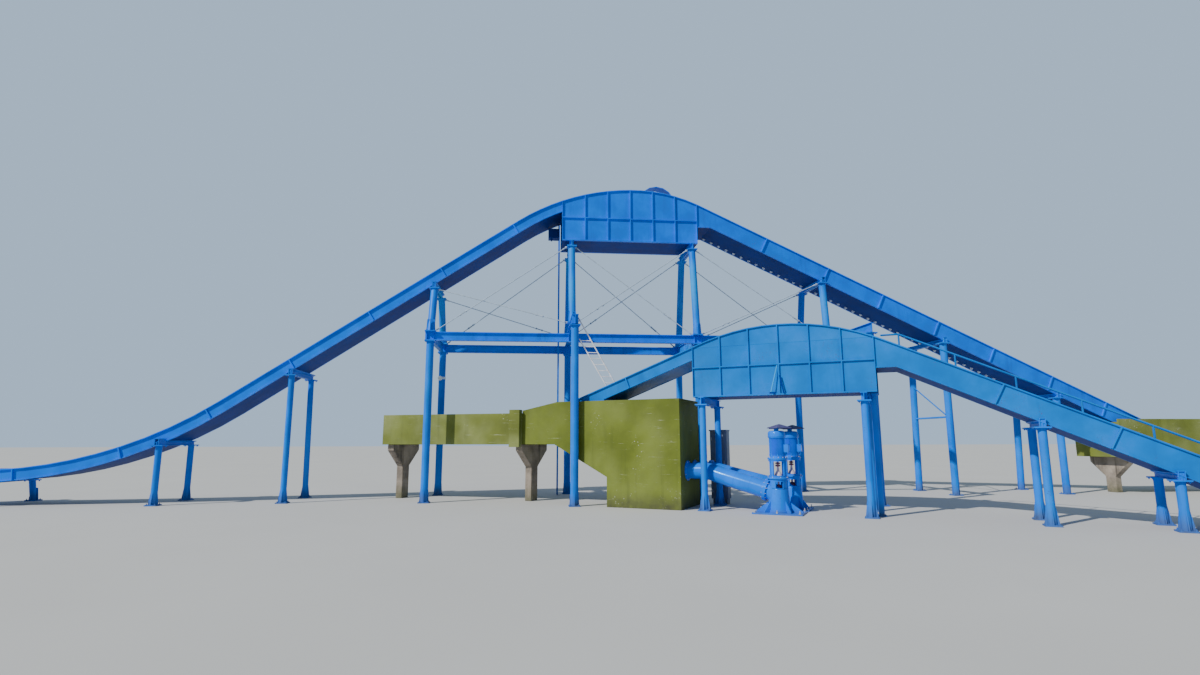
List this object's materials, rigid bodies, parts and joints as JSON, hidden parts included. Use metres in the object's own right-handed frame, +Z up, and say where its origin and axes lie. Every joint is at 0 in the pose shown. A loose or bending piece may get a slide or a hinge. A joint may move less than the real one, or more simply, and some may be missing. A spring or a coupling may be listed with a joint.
{
  "type": "log flume lift and slide tower, 1:2 scale model",
  "caption": "Log flume ride at 1:2 scale: a tall lift hill on a steel frame, a smaller hill in front, head tank, troughs, piers and vertical pumps",
  "frame": {"origin": "under the base plate of the forward column that carries the ladder tower's girder, on the ground", "axes": "+X along the tall hill from its slide to its lift ramp, +Y from the front of the tall hill to its back, +Z up"},
  "size_m": [27.35, 7.7265, 7.06],
  "materials": {
    "blue_paint": "semi-gloss azure paint, weathered",
    "dark_blue_paint": "semi-gloss blue paint in shade, stained",
    "green_paint": "matt olive green paint with water streaks",
    "concrete": "rough cast concrete",
    "bare_aluminium": "satin, dull",
    "cabinet_grey": "semi-gloss grey sheet steel, dusty",
    "pump_blue": "gloss machine paint"
  },
  "bodies": {
    "root": {"small_fascia_front": "blue_paint", "small_fascia_back": "blue_paint", "small_underside": "dark_blue_paint", "small_crest_floor": "dark_blue_paint", "small_slide": "blue_paint", "small_ramp_near_side": "blue_paint", "small_ramp_far_side": "blue_paint", "small_ramp_floor": "dark_blue_paint", "small_trestle_1": "blue_paint", "small_trestle_2": "blue_paint", "small_trestle_3": "blue_paint", "small_trestle_4": "blue_paint", "small_handrail": "blue_paint", "leaning_ladder": "bare_aluminium", "tank_front_wall": "green_paint", "tank_back_wall": "green_paint", "tank_end_wall": "green_paint", "tank_floor": "green_paint", "trough_bay": "green_paint", "trough_end_pier": "concrete", "trough_joint_pier": "concrete", "front_pump": "pump_blue", "front_delivery_pipe": "pump_blue", "back_pump": "pump_blue", "back_delivery_pipe": "pump_blue", "control_cabinet": "cabinet_grey", "tall_fascia_front": "blue_paint", "tall_fascia_back": "blue_paint", "tall_underside": "dark_blue_paint", "tall_crest_floor": "dark_blue_paint", "tall_slide_near_side": "blue_paint", "tall_slide_far_side": "blue_paint", "tall_slide_floor": "dark_blue_paint", "tall_ramp_near_side": "blue_paint", "tall_ramp_far_side": "blue_paint", "tall_ramp_floor": "dark_blue_paint", "slide_trestle_1": "blue_paint", "slide_trestle_2": "blue_paint", "slide_trestle_3": "blue_paint", "upper_tower_1": "blue_paint", "upper_tower_2": "blue_paint", "upper_tower_3": "blue_paint", "upper_tower_4": "blue_paint", "ramp_trestle_1": "blue_paint", "ramp_trestle_2": "blue_paint", "long_beam_front": "blue_paint", "long_beam_back": "blue_paint", "lower_portal_1": "blue_paint", "ladder_tower_girder": "blue_paint", "ladder_tower_back_column": "blue_paint", "lower_portal_3": "blue_paint", "lower_portal_4": "blue_paint", "access_ladder": "blue_paint", "receiving_trough": "green_paint", "receiver_pier_1": "concrete", "receiver_pier_2": "concrete", "drive_box": "dark_blue_paint", "wheel_guard": "blue_paint"}
  },
  "joints": []
}
